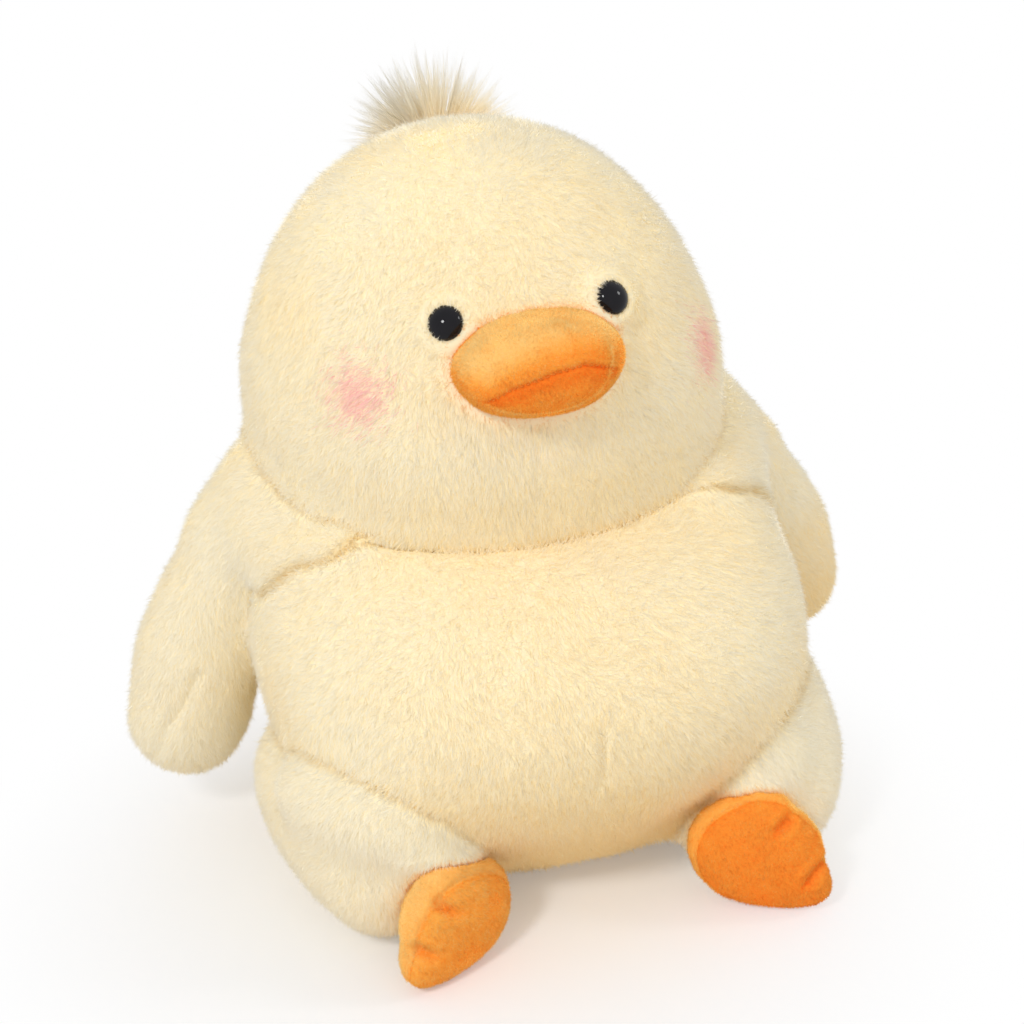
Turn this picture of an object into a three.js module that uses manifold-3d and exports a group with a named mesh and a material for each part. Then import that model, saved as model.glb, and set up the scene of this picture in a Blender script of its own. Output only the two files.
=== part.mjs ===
// Plush duck, sitting: a ball head on a pear body, two stuffed wings, two stuffed legs with sewn feet,
// a padded bill, two button eyes and a long pile tuft. +Z is up and the face looks towards minus Y.
// The origin lies on the flat seat, in the middle plane, under the front of the belly. Every cover is a
// cloth shell round its own fibre filling. Lengths are in millimetres and angles in degrees.
import * as THREE from 'three';
import { mergeVertices, mergeGeometries } from 'three/addons/utils/BufferGeometryUtils.js';
import Module from 'manifold-3d';

// Cloth and clearances
const clothThickness = 1.8;
const napThickness = 1.4;
const touchGap = 0.35;
const fillingGap = 0.5;
const slideGap = 0.6;

// Body: a pear that leans back, flat under the seat
const bodyWidth = 213;
const bodyHeight = 166;
const bodyFront = 92;
const bodyBack = 102;
const bodySquareness = 2.2;
const bodyHeightShares = [0, 0.03, 0.09, 0.17, 0.28, 0.41, 0.54, 0.66, 0.77, 0.87, 0.95, 1];
const bodyWidthShares = [0.46, 0.58, 0.69, 0.78, 0.88, 0.97, 1, 0.96, 0.885, 0.79, 0.66, 0.4];
const bodyFrontShares = [0.2, 0.36, 0.54, 0.68, 0.86, 1, 1.03, 0.94, 0.72, 0.37, 0.08, -0.18];
const bodyBackShares = [0.62, 0.74, 0.86, 0.96, 1.03, 1.07, 1.09, 1.1, 1.1, 1.06, 0.96, 0.66];

// Head: a ball slightly flattened from face to back
const headWidth = 187;
const headDepth = 178;
const headHeight = 187;
const headSetback = 48;
const headRise = 10;
const faceTiltAngle = 22;

// Neck: the covers are open to each other where head and body are sewn together
const neckOpening = 46;

// Eyes: moulded domes on ribbed posts, held by lock washers behind the cloth
const eyeDiameter = 12.8;
const eyeHeight = 6;
const eyeSpacing = 73;
const eyeRise = 17;
const postDiameter = 4.4;
const postLength = 13;
const washerDiameter = 15;
const washerThickness = 2;
const washerHubDiameter = 8;

// Bill: an upper and a lower cloth panel sewn along the mouth line
const billWidth = 63;
const billUpperHeight = 18;
const billLowerHeight = 17;
const billReach = 25;
const billDroopAngle = 16;
const threadDiameter = 1.1;

// Tuft: a fan of long pile on a narrow woven strip
const tuftWidth = 62;
const tuftHeight = 33;
const tuftDepth = 24;
const tuftStripThickness = 1.6;
const tuftSetbackAngle = 35;

// Wings: paddles that hang from a rounded shoulder
const wingInset = 10.5;
const wingPivotBack = 56;
const wingDrop = 54;
const wingRootRadius = 21;
const wingRootLength = 48;
const wingLength = 96;
const wingSpreadAngle = 28;
const rightWingSweepAngle = 0;
const leftWingSweepAngle = 18;
const wingThickness = 47;
const wingBreadth = 50;

// Legs: haunches that taper towards the feet
const hipInset = 29.5;
const hipBack = 4;
const haunchRadius = 38;
const haunchHeight = 84;
const legTurnIn = 15;
const legReach = 68;
const ankleRadius = 31;
const shinBow = 10;

// Feet: a domed sole panel and an upper panel, sewn round the rim, turned in a little
const footWidth = 53;
const footHeight = 48;
const soleDome = 9;
const upperDome = 17;
const footTurnInAngle = 28;
const footTiltAngle = 6;
const footForward = 14;
const footInward = 4;

const wasm = await Module();
wasm.setup();

const SIDES = { right: -1, left: 1 };
const degrees = Math.PI / 180;
const X = new THREE.Vector3(1, 0, 0);
const Y = new THREE.Vector3(0, 1, 0);
const Z = new THREE.Vector3(0, 0, 1);

// A closed triangle mesh becomes a solid that can be joined and cut
function solidOf(geometry) {
  const bare = geometry.clone();
  bare.deleteAttribute('normal');
  bare.deleteAttribute('uv');
  const welded = mergeVertices(bare);
  return new wasm.Manifold(new wasm.Mesh({
    numProp: 3,
    vertProperties: new Float32Array(welded.attributes.position.array),
    triVerts: new Uint32Array(welded.index.array),
  }));
}

function geometryOf(solid) {
  const mesh = solid.getMesh();
  const geometry = new THREE.BufferGeometry();
  geometry.setAttribute('position', new THREE.BufferAttribute(new Float32Array(mesh.vertProperties), 3));
  geometry.setIndex(new THREE.BufferAttribute(new Uint32Array(mesh.triVerts), 1));
  geometry.computeVertexNormals();
  return geometry;
}

// A skin over a row of rings with the same number of points, closed at both ends
function skin(rings) {
  const count = rings[0].length;
  const positions = [];
  const middle = (ring) => ring.reduce((sum, p) => sum.add(p), new THREE.Vector3()).divideScalar(count);
  for (const p of [...rings.flat(), middle(rings[0]), middle(rings.at(-1))]) {
    positions.push(p.x, p.y, p.z);
  }
  const firstPole = rings.length * count;
  const lastPole = firstPole + 1;
  const faces = [];
  for (let k = 0; k < count; k++) {
    const next = (k + 1) % count;
    faces.push(firstPole, next, k);
    for (let i = 0; i + 1 < rings.length; i++) {
      const low = i * count;
      const high = low + count;
      faces.push(low + k, low + next, high + next, low + k, high + next, high + k);
    }
    const top = (rings.length - 1) * count;
    faces.push(lastPole, top + k, top + next);
  }
  const geometry = new THREE.BufferGeometry();
  geometry.setAttribute('position', new THREE.Float32BufferAttribute(positions, 3));
  geometry.setIndex(faces);
  if (signedVolume(geometry) < 0) {
    geometry.setIndex(faces.reverse());
  }
  return geometry;
}

function signedVolume(geometry) {
  const at = geometry.attributes.position;
  const index = geometry.index;
  const corner = (i) => new THREE.Vector3().fromBufferAttribute(at, index.getX(i));
  let total = 0;
  for (let i = 0; i < index.count; i += 3) {
    total += corner(i).dot(corner(i + 1).cross(corner(i + 2)));
  }
  return total;
}

const bend = (value, power) => Math.sign(value) * Math.abs(value) ** power;
const turnAt = (k, count) => (2 * Math.PI * k) / count;

// Everything that rests on the floor is cut flat at its own height
const floorReach = 2 * bodyWidth;
function aboveFloor(solid) {
  const slab = new THREE.BoxGeometry(floorReach, floorReach, bodyHeight);
  slab.translate(0, 0, -bodyHeight / 2);
  return solid.subtract(solidOf(slab));
}

// Body form
const liningShare = 0.7;
const even = (count, fine) => (fine ? count : 2 * Math.round((count * liningShare) / 2));
const bodySides = 26;
function bodyForm(grow, fine = true) {
  const sides = even(bodySides, fine);
  const rings = bodyHeightShares.map((share, i) => {
    const halfWidth = (bodyWidth / 2) * bodyWidthShares[i] + grow;
    const front = -bodyFront * bodyFrontShares[i] - grow;
    const back = bodyBack * bodyBackShares[i] + grow;
    const height = -grow + share * (bodyHeight + 2 * grow);
    const ring = [];
    for (let k = 0; k < sides; k++) {
      const turn = turnAt(k, sides);
      ring.push(new THREE.Vector3(
        halfWidth * bend(Math.cos(turn), 2 / bodySquareness),
        (front + back) / 2 + ((back - front) / 2) * bend(Math.sin(turn), 2 / bodySquareness),
        height,
      ));
    }
    return ring;
  });
  return solidOf(skin(rings));
}

// Head form: round about the axis from face to back, so it can tilt in its hollow
const headSides = 34;
const headRows = 12;
const headCentre = new THREE.Vector3(0, headSetback, bodyHeight + headRise);
function headForm(grow, fine = true) {
  const ball = new THREE.SphereGeometry(1, even(headSides, fine), even(headRows, fine));
  ball.scale(headWidth / 2 + grow, headDepth / 2 + grow, headHeight / 2 + grow);
  ball.translate(...headCentre);
  return solidOf(ball);
}

// A frame that stands on the head where a direction from its centre meets the cloth
function headFrame(sideways, elevation, lift, lean = elevation) {
  const aim = new THREE.Vector3(
    Math.sin(sideways) * Math.cos(elevation),
    -Math.cos(sideways) * Math.cos(elevation),
    Math.sin(elevation),
  );
  const half = new THREE.Vector3(headWidth / 2, headDepth / 2, headHeight / 2);
  const reach = 1 / Math.hypot(aim.x / half.x, aim.y / half.y, aim.z / half.z);
  const spot = aim.clone().multiplyScalar(reach);
  const out = new THREE.Vector3(spot.x / half.x ** 2, spot.y / half.y ** 2, spot.z / half.z ** 2).normalize();
  if (lean !== elevation) {
    out.set(0, -Math.cos(lean), Math.sin(lean));
  }
  const across = new THREE.Vector3().crossVectors(out, Z).normalize();
  const up = new THREE.Vector3().crossVectors(across, out);
  const frame = new THREE.Matrix4().makeBasis(across, out, up);
  frame.setPosition(headCentre.clone().add(spot).addScaledVector(out, lift));
  return frame;
}

// Wing form: a rounded root that turns in the shoulder and a paddle below it
const wingSides = 14;
const wingRootRows = 10;
const wingLengthShares = [0.02, 0.16, 0.32, 0.5, 0.66, 0.8, 0.9, 0.97, 1];
const wingWidthShares = [0.88, 0.9, 0.95, 1, 1, 0.94, 0.8, 0.55, 0.22];
function wingPivot(side) {
  return new THREE.Vector3(side * (bodyWidth / 2 - wingInset), wingPivotBack, bodyHeight - wingDrop);
}

function wingRoot(side, grow, fine = true) {
  const ball = new THREE.SphereGeometry(1, even(wingSides, fine), even(wingRootRows, fine));
  ball.scale(wingRootRadius + grow, wingRootLength / 2 + grow, wingRootRadius + grow);
  ball.translate(...wingPivot(side));
  return solidOf(ball);
}

function wingPaddle(side, grow, fine = true) {
  const sides = even(wingSides, fine);
  const spread = wingSpreadAngle * degrees;
  const sweep = (side < 0 ? rightWingSweepAngle : leftWingSweepAngle) * degrees;
  const down = new THREE.Vector3(side * Math.sin(spread), 0, -Math.cos(spread)).applyAxisAngle(X, sweep);
  const across = new THREE.Vector3().crossVectors(down, Y).normalize();
  const along = new THREE.Vector3().crossVectors(across, down).normalize();
  const rings = wingLengthShares.map((share, i) => {
    const centre = wingPivot(side).addScaledVector(down, share * (wingLength + grow));
    const halfThick = (wingThickness / 2) * wingWidthShares[i] + grow;
    const halfBroad = (wingBreadth / 2) * wingWidthShares[i] + grow;
    const ring = [];
    for (let k = 0; k < sides; k++) {
      const turn = turnAt(k, sides);
      ring.push(centre.clone()
        .addScaledVector(across, halfThick * Math.cos(turn))
        .addScaledVector(along, halfBroad * Math.sin(turn)));
    }
    return ring;
  });
  return solidOf(skin(rings));
}

// Leg form: a haunch that is round about the hip's upright axis and a shin that tapers to the ankle
const legSides = 14;
const haunchSides = 20;
const haunchRows = 10;
const legLengthShares = [0, 0.2, 0.4, 0.6, 0.8, 0.93, 1];
const legTaperShares = [0, 0.16, 0.38, 0.62, 0.86, 0.97, 1];
const legEndShares = [1, 1, 1, 1, 0.98, 0.86, 0.6];
const seatCut = 0.5;
const hipSide = bodyWidth / 2 - hipInset;
const ankleSide = hipSide - legTurnIn;
const ankleFront = legReach - hipBack;
function hip(side) {
  return new THREE.Vector3(side * hipSide, hipBack, haunchHeight / 2 - seatCut);
}

function haunch(side, grow, fine = true) {
  const ball = new THREE.SphereGeometry(1, even(haunchSides, fine), even(haunchRows, fine));
  ball.rotateX(Math.PI / 2);
  ball.scale(haunchRadius + grow, haunchRadius + grow, haunchHeight / 2 + grow);
  ball.translate(...hip(side));
  return solidOf(ball);
}

function shin(side, grow, fine = true) {
  const sides = even(legSides, fine);
  const start = new THREE.Vector3(side * hipSide, hipBack, 0);
  const end = new THREE.Vector3(side * ankleSide, -ankleFront, 0);
  const knee = start.clone().lerp(end, 0.5).addScaledVector(X, side * shinBow);
  const path = new THREE.QuadraticBezierCurve3(start, knee, end);
  const rings = legLengthShares.map((share, i) => {
    const thick = THREE.MathUtils.lerp(haunchRadius, ankleRadius, legTaperShares[i]);
    const tall = THREE.MathUtils.lerp(haunchHeight / 2, ankleRadius, legTaperShares[i]);
    const forward = path.getTangent(share);
    const across = new THREE.Vector3().crossVectors(forward, Z).normalize();
    const centre = path.getPoint(share).addScaledVector(Z, tall - seatCut);
    const ring = [];
    for (let k = 0; k < sides; k++) {
      const turn = turnAt(k, sides);
      ring.push(centre.clone()
        .addScaledVector(across, (thick * legEndShares[i] + grow) * Math.cos(turn))
        .addScaledVector(Z, (tall * legEndShares[i] + grow) * Math.sin(turn)));
    }
    return ring;
  });
  return solidOf(skin(rings));
}

// Foot form: one rim outline with three toes, domed forward for the sole and backward for the upper
const footAcrossShares = [1, 0.97, 0.78, 0.35, -0.15, -0.58, -0.88, -1, -0.96, -0.78, -0.46, -0.05, 0.3, 0.46,
  0.66, 0.84, 0.88, 0.84];
const footUpShares = [-0.5, -0.74, -0.92, -1, -0.98, -0.84, -0.5, -0.1, 0.28, 0.6, 0.86, 1, 0.94, 0.7,
  0.56, 0.26, -0.04, -0.16];
const footDomeShares = [0, 0.45, 0.78, 0.95];
function footFrame(side) {
  const turn = -side * footTurnInAngle * degrees;
  const frame = new THREE.Matrix4().makeRotationZ(turn);
  frame.multiply(new THREE.Matrix4().makeRotationX(-footTiltAngle * degrees));
  frame.setPosition(side * (ankleSide - footInward), -ankleFront - footForward, footHeight / 2 - seatCut);
  return frame;
}

function footForm(side, grow) {
  const rings = [];
  const addRow = (share, dome) => {
    const scale = Math.sqrt(1 - share * share);
    rings.push(footAcrossShares.map((across, k) => new THREE.Vector3(
      side * (across * (footWidth / 2) + Math.sign(across) * grow) * scale,
      share * dome,
      (footUpShares[k] * (footHeight / 2) + Math.sign(footUpShares[k]) * grow) * scale,
    )));
  };
  [...footDomeShares].reverse().forEach((share) => addRow(share, upperDome + grow));
  footDomeShares.slice(1).forEach((share) => addRow(share, -soleDome - grow));
  const geometry = skin(rings);
  geometry.applyMatrix4(footFrame(side));
  return solidOf(geometry);
}

// A slab on one side of a plane of a frame, used to part two panels along their seam
function halfSpace(frame, axis, sign, offset) {
  const slab = new THREE.BoxGeometry(floorReach, floorReach, floorReach);
  const shift = sign * (floorReach / 2 + offset);
  slab.translate(axis === 'x' ? shift : 0, axis === 'y' ? shift : 0, axis === 'z' ? shift : 0);
  slab.applyMatrix4(frame);
  return solidOf(slab);
}

// Bill form
const billSides = 20;
const billDepthShares = [-0.55, 0, 0.25, 0.47, 0.66, 0.81, 0.92, 0.98];
const billFullness = 2.5;
const billFrame = headFrame(0, faceTiltAngle * degrees, 0, (faceTiltAngle - billDroopAngle) * degrees);
function billForm(grow) {
  const rings = billDepthShares.map((share) => {
    const depth = share * (billReach + grow);
    const size = (1 - Math.max(share, 0) ** billFullness) ** (1 / billFullness);
    const ring = [];
    for (let k = 0; k < billSides; k++) {
      const turn = turnAt(k, billSides);
      const height = Math.sin(turn) > 0 ? billUpperHeight : billLowerHeight;
      ring.push(new THREE.Vector3(
        (billWidth / 2 + grow) * size * Math.cos(turn),
        depth,
        (height + grow) * size * Math.sin(turn),
      ));
    }
    return ring;
  });
  const geometry = skin(rings);
  geometry.applyMatrix4(billFrame);
  return solidOf(geometry);
}

// Solids of each body, cut by the larger ones; inset is how far a surface lies inside the outer face
const bothSides = Object.values(SIDES);
function bodySolid(inset) {
  const fine = inset === 0;
  let solid = bodyForm(-inset, fine);
  solid = solid.subtract(headForm(slideGap + inset, fine));
  for (const side of bothSides) {
    solid = solid.subtract(wingRoot(side, slideGap + inset, fine));
  }
  return solid;
}

function wingSolid(side, inset) {
  const fine = inset === 0;
  let paddle = wingPaddle(side, -inset, fine);
  paddle = paddle.subtract(bodyForm(touchGap + inset, fine));
  paddle = paddle.subtract(haunch(side, slideGap + inset, fine));
  return paddle.add(wingRoot(side, -inset, fine)).subtract(headForm(slideGap + inset, fine));
}

function legSolid(side, inset) {
  const fine = inset <= 0;
  const whole = shin(side, -inset, fine).add(haunch(side, -inset, fine));
  const solid = aboveFloor(whole.subtract(bodyForm(touchGap + inset, fine)));
  return inset > 0 ? solid.subtract(floorSlab(inset)) : solid;
}

function floorSlab(height) {
  const slab = new THREE.BoxGeometry(floorReach, floorReach, 2 * height);
  return solidOf(slab);
}

function footSolid(side, inset) {
  const solid = aboveFloor(footForm(side, -inset)).subtract(legSolid(side, -touchGap - inset));
  return inset > 0 ? solid.subtract(floorSlab(inset)) : solid;
}

// A round bar between two points
const holeSides = 16;
function bar(from, to, diameter) {
  const axis = new THREE.Vector3().subVectors(to, from);
  const rod = new THREE.CylinderGeometry(diameter / 2, diameter / 2, axis.length(), holeSides);
  rod.applyQuaternion(new THREE.Quaternion().setFromUnitVectors(Y, axis.clone().normalize()));
  rod.translate(...from.clone().addScaledVector(axis, 0.5));
  return solidOf(rod);
}

// Colours and surfaces
const fur = { color: 0xf8e8bc, roughness: 0.95, metalness: 0 };
const fibre = { color: 0xf6f4ee, roughness: 1, metalness: 0 };
const nap = { color: 0xf59a33, roughness: 0.9, metalness: 0 };
const napDeep = { color: 0xf08a2c, roughness: 0.9, metalness: 0 };
const glossBlack = { color: 0x0b0b0d, roughness: 0.12, metalness: 0 };
const washerWhite = { color: 0xe9e7e0, roughness: 0.5, metalness: 0 };
const longPile = { color: 0xfbf3dc, roughness: 0.95, metalness: 0 };
const woven = { color: 0xf1e2b8, roughness: 0.95, metalness: 0 };
const orangeThread = { color: 0xd9761c, roughness: 0.8, metalness: 0 };

const group = new THREE.Group();
function addMesh(name, solid, surface) {
  const mesh = new THREE.Mesh(geometryOf(solid), new THREE.MeshStandardMaterial(surface));
  mesh.name = name;
  group.add(mesh);
  return mesh;
}

// Neck opening, shared by the head cover and the body cover
const fillingInset = clothThickness + fillingGap;
const neckReach = headHeight / 8;
const neckAim = new THREE.Vector3(0, 0, bodyHeight / 2).sub(headCentre).normalize();
const neckStart = headCentre.clone().addScaledVector(neckAim, headHeight / 2 - neckReach);
const neckEnd = headCentre.clone().addScaledVector(neckAim, headHeight / 2 + neckReach);
const neckHole = bar(neckStart, neckEnd, neckOpening);

addMesh('body_cover', bodySolid(0).subtract(bodySolid(clothThickness)).subtract(neckHole), fur);
addMesh('body_stuffing', bodySolid(fillingInset), fibre);

// Eyes
const eyeSideways = Math.asin(eyeSpacing / headWidth);
const eyeElevation = faceTiltAngle * degrees + eyeRise / (headHeight / 2);
function eyeFrame(side) {
  return headFrame(side * eyeSideways, eyeElevation, touchGap);
}

const eyeSegments = 18;
const washerSegments = 14;
function turned(profile, frame, segments) {
  const lathe = new THREE.LatheGeometry(profile, segments);
  lathe.applyMatrix4(frame);
  return solidOf(lathe);
}

const eyeRimShare = 0.14;
const eyeArcShares = [0.25, 0.5, 0.72, 0.88];
const eyeShoulder = 0.3;
function eyeSolid(side, grow = 0) {
  const radius = eyeDiameter / 2 + grow;
  const post = postDiameter / 2 + grow;
  const rim = eyeHeight * eyeRimShare;
  const dome = eyeHeight + grow - rim;
  const profile = [new THREE.Vector2(0, -postLength - grow), new THREE.Vector2(post, -postLength - grow)];
  profile.push(new THREE.Vector2(post, -grow), new THREE.Vector2(radius, -grow));
  profile.push(new THREE.Vector2(radius, rim));
  for (const share of eyeArcShares) {
    const climb = Math.sqrt(1 - (1 - share) ** 2) * share ** eyeShoulder;
    profile.push(new THREE.Vector2(radius * Math.sqrt(1 - share * share), rim + dome * climb));
  }
  profile.push(new THREE.Vector2(0, eyeHeight + grow));
  return turned(profile, eyeFrame(side), eyeSegments);
}

const washerSeat = -2 * touchGap - clothThickness;
function washerSolid(side, grow = 0) {
  const hole = postDiameter / 2 + touchGap;
  const hub = washerHubDiameter / 2 + grow;
  const rim = washerDiameter / 2 + grow;
  const front = washerSeat + grow;
  const shoulder = washerSeat - washerThickness - grow;
  const end = washerSeat - 2 * washerThickness - grow;
  const profile = [
    new THREE.Vector2(hole, front), new THREE.Vector2(hole, end), new THREE.Vector2(hub, end),
    new THREE.Vector2(hub, shoulder), new THREE.Vector2(rim, shoulder), new THREE.Vector2(rim, front),
    new THREE.Vector2(hole, front),
  ];
  return turned(profile, eyeFrame(side), washerSegments);
}

// The cloth is pressed flat where the washer grips it
function washerSeatCut(side) {
  const radius = washerDiameter / 2 + touchGap;
  const profile = [
    new THREE.Vector2(0, -postLength), new THREE.Vector2(radius, -postLength),
    new THREE.Vector2(radius, washerSeat + touchGap), new THREE.Vector2(0, washerSeat + touchGap),
  ];
  return turned(profile, eyeFrame(side), washerSegments);
}

function washerPocket(side) {
  const profile = [
    new THREE.Vector2(0, -postLength - touchGap),
    new THREE.Vector2(washerDiameter / 2 + touchGap, -postLength - touchGap),
    new THREE.Vector2(washerDiameter / 2 + touchGap, touchGap),
    new THREE.Vector2(0, touchGap),
  ];
  return turned(profile, eyeFrame(side), washerSegments);
}

// Head cover and filling
let headCover = headForm(0).subtract(headForm(-clothThickness, false)).subtract(neckHole);
let headFilling = headForm(-fillingInset, false);
for (const side of bothSides) {
  headCover = headCover.subtract(eyeSolid(side, touchGap)).subtract(washerSeatCut(side));
  headFilling = headFilling.subtract(washerPocket(side));
}
addMesh('head_cover', headCover, fur);
addMesh('head_stuffing', headFilling, fibre);
for (const [name, side] of Object.entries(SIDES)) {
  addMesh('eye_' + name, eyeSolid(side), glossBlack);
  addMesh('eye_washer_' + name, washerSolid(side), washerWhite);
}

// Bill
const mouthSteps = 32;
const threadSides = 5;
function billSolid(inset) {
  return billForm(-inset).subtract(headForm(touchGap));
}

function threadAlong(path, steps, diameter) {
  const section = new THREE.Shape();
  for (let k = 0; k < threadSides; k++) {
    const turn = turnAt(k, threadSides);
    section.lineTo(Math.cos(turn) * diameter / 2, Math.sin(turn) * diameter / 2);
  }
  return solidOf(new THREE.ExtrudeGeometry(section, { steps, extrudePath: path }));
}

// The mouth thread follows the rim of the bill along the seam
function mouthLine() {
  const lift = threadDiameter / 2 + touchGap;
  const depths = billDepthShares.slice(1);
  const rim = (share) => (billWidth / 2) * (1 - share ** billFullness) ** (1 / billFullness) + lift;
  const points = depths.map((share) => new THREE.Vector3(rim(share), share * (billReach + lift), 0));
  points.push(new THREE.Vector3(0, billReach + lift, 0));
  for (const share of [...depths].reverse()) {
    points.push(new THREE.Vector3(-rim(share), share * (billReach + lift), 0));
  }
  const path = new THREE.CatmullRomCurve3(points.map((p) => p.applyMatrix4(billFrame)));
  return threadAlong(path, mouthSteps, threadDiameter);
}

const billShell = billSolid(0).subtract(billForm(-napThickness));
addMesh('bill_upper', billShell.subtract(halfSpace(billFrame, 'z', -1, -touchGap / 2)), nap);
addMesh('bill_lower', billShell.subtract(halfSpace(billFrame, 'z', 1, -touchGap / 2)), napDeep);
addMesh('bill_stuffing', billSolid(napThickness + touchGap), fibre);
addMesh('bill_mouth_thread', mouthLine(), orangeThread);

// Tuft: the woven strip lies on the crown and the pile fans out of it
const tuftStripWidthShare = 0.5;
const tuftStripDepthShare = 0.55;
const tuftFrame = headFrame(0, Math.PI / 2 + tuftSetbackAngle * degrees, 0);
function tuftPatch(low, high) {
  const stripWidth = tuftWidth * tuftStripWidthShare;
  const slab = new THREE.BoxGeometry(stripWidth, tuftHeight, tuftDepth * tuftStripDepthShare);
  slab.applyMatrix4(tuftFrame);
  return solidOf(slab).intersect(headForm(high)).subtract(headForm(low));
}
addMesh('tuft_strip', tuftPatch(touchGap, touchGap + tuftStripThickness), woven);

const tuftFanShares = [[0.5, 0], [0.8, 0.06], [0.97, 0.2], [1, 0.36], [0.92, 0.6], [0.7, 0.83], [0.38, 0.97]];
const tuftSides = 18;
const tuftRings = tuftFanShares.map(([size, rise]) => {
  const ring = [];
  for (let k = 0; k < tuftSides; k++) {
    const turn = turnAt(k, tuftSides);
    ring.push(new THREE.Vector3(
      (tuftWidth / 2) * size * Math.cos(turn),
      rise * tuftHeight,
      (tuftDepth / 2) * size * Math.sin(turn),
    ));
  }
  return ring;
});
const tuftFan = skin(tuftRings);
tuftFan.applyMatrix4(tuftFrame);
addMesh('tuft', solidOf(tuftFan).subtract(headForm(tuftStripThickness + 2 * touchGap)), longPile);

// Wings and legs: each cover opens towards the body where it is sewn on
for (const [name, side] of Object.entries(SIDES)) {
  const shoulder = wingPivot(side);
  const inward = shoulder.clone().addScaledVector(X, -side * 2 * wingRootRadius);
  const armhole = bar(shoulder, inward, wingRootRadius);
  const wingLining = wingSolid(side, clothThickness);
  addMesh('wing_cover_' + name, wingSolid(side, 0).subtract(wingLining).subtract(armhole), fur);
  addMesh('wing_stuffing_' + name, wingSolid(side, fillingInset), fibre);

  const hipPoint = hip(side);
  const legInward = hipPoint.clone().addScaledVector(X, -side * 2 * haunchRadius);
  const leghole = bar(hipPoint, legInward, haunchRadius);
  const legLining = legSolid(side, clothThickness);
  addMesh('leg_cover_' + name, legSolid(side, 0).subtract(legLining).subtract(leghole), fur);
  addMesh('leg_stuffing_' + name, legSolid(side, fillingInset), fibre);

  const frame = footFrame(side);
  const foot = footSolid(side, 0).subtract(footForm(side, -napThickness));
  addMesh('foot_sole_' + name, foot.subtract(halfSpace(frame, 'y', 1, -touchGap / 2)), napDeep);
  addMesh('foot_upper_' + name, foot.subtract(halfSpace(frame, 'y', -1, -touchGap / 2)), nap);
  addMesh('foot_stuffing_' + name, footSolid(side, napThickness + touchGap), fibre);
}

export default group;
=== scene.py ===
# %% [markdown]
# A sitting plush duck, dressed in Blender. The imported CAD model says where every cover, eye and
# panel sits. This file makes what the hand and the eye meet: pile cloth pulled tight over fibre
# filling, sewn creases, glossy eyes, a velvet bill and a tuft of long pile.

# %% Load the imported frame
from math import cos, exp, pi, radians, sin

import bmesh
import bpy
import numpy as np
from mathutils import Matrix, Vector
from mathutils.bvhtree import BVHTree


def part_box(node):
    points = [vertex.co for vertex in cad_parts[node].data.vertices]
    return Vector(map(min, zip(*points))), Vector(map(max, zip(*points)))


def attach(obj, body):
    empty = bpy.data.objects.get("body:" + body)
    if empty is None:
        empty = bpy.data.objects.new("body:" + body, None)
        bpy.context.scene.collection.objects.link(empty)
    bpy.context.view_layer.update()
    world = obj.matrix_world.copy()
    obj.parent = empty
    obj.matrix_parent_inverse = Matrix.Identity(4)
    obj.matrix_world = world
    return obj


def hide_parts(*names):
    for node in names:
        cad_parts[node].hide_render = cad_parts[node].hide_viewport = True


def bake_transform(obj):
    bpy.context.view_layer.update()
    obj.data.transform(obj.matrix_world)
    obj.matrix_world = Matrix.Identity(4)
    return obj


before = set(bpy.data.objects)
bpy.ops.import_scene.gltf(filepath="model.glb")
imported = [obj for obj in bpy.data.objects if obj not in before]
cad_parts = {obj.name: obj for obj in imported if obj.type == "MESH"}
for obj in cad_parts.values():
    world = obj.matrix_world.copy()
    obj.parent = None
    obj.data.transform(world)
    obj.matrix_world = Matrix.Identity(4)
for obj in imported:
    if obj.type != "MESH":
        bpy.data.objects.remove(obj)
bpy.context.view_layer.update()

MM = 0.001
scene = bpy.context.scene

# %% [markdown]
# The camera stands where the photographer stood: a little to the duck's right, above it, and
# rolled a few degrees. Seams, folds and blushes are then placed by looking along the line of a
# pixel until it meets the cloth, so each one lies on the piece that carries it.

# %% The camera and its lines of sight
AZIMUTH, ELEVATION, ROLL = (radians(a) for a in (-12.8, 25.0, 4.1))
AIM = Vector((0, 78, 120)) * MM
DISTANCE = 960 * MM
PICTURE, FOCAL_PIXELS, AIM_PIXEL = 1024, 2400, (475, 468)

back = Vector((sin(AZIMUTH) * cos(ELEVATION),
               -cos(AZIMUTH) * cos(ELEVATION), sin(ELEVATION)))
level = Vector((cos(AZIMUTH), sin(AZIMUTH), 0))
upright = back.cross(level)
right = cos(ROLL) * level - sin(ROLL) * upright
up = sin(ROLL) * level + cos(ROLL) * upright
eye_point = AIM + back * DISTANCE


def new_object(name, data):
    """An object that carries this mesh, lamp or camera, linked to the scene."""
    made = bpy.data.objects.new(name, data)
    scene.collection.objects.link(made)
    return made


camera = new_object("camera", bpy.data.cameras.new("camera"))
turn = Matrix((right, up, back)).transposed().to_4x4()
camera.matrix_world = Matrix.Translation(eye_point) @ turn
camera.data.lens = camera.data.sensor_width * FOCAL_PIXELS / PICTURE
camera.data.shift_x = 0.5 - AIM_PIXEL[0] / PICTURE
camera.data.shift_y = AIM_PIXEL[1] / PICTURE - 0.5
scene.camera = camera


def sight(pixel):
    """The direction from the camera through a pixel of the photograph."""
    across = (pixel[0] - AIM_PIXEL[0]) / FOCAL_PIXELS
    down = (pixel[1] - AIM_PIXEL[1]) / FOCAL_PIXELS
    return (right * across - up * down - back).normalized()


print("lens in mm:", round(camera.data.lens, 1))

# %% [markdown]
# The studio is a white room: an even world, one soft lamp high on the left and a weak one on the
# right. Together they light a surface at about the level at which its colour is written. The pale
# floor keeps the soft shadow near the toy, and further off, for the camera alone, it fades to the
# white of the backdrop. A reflection sees the same white.

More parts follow.
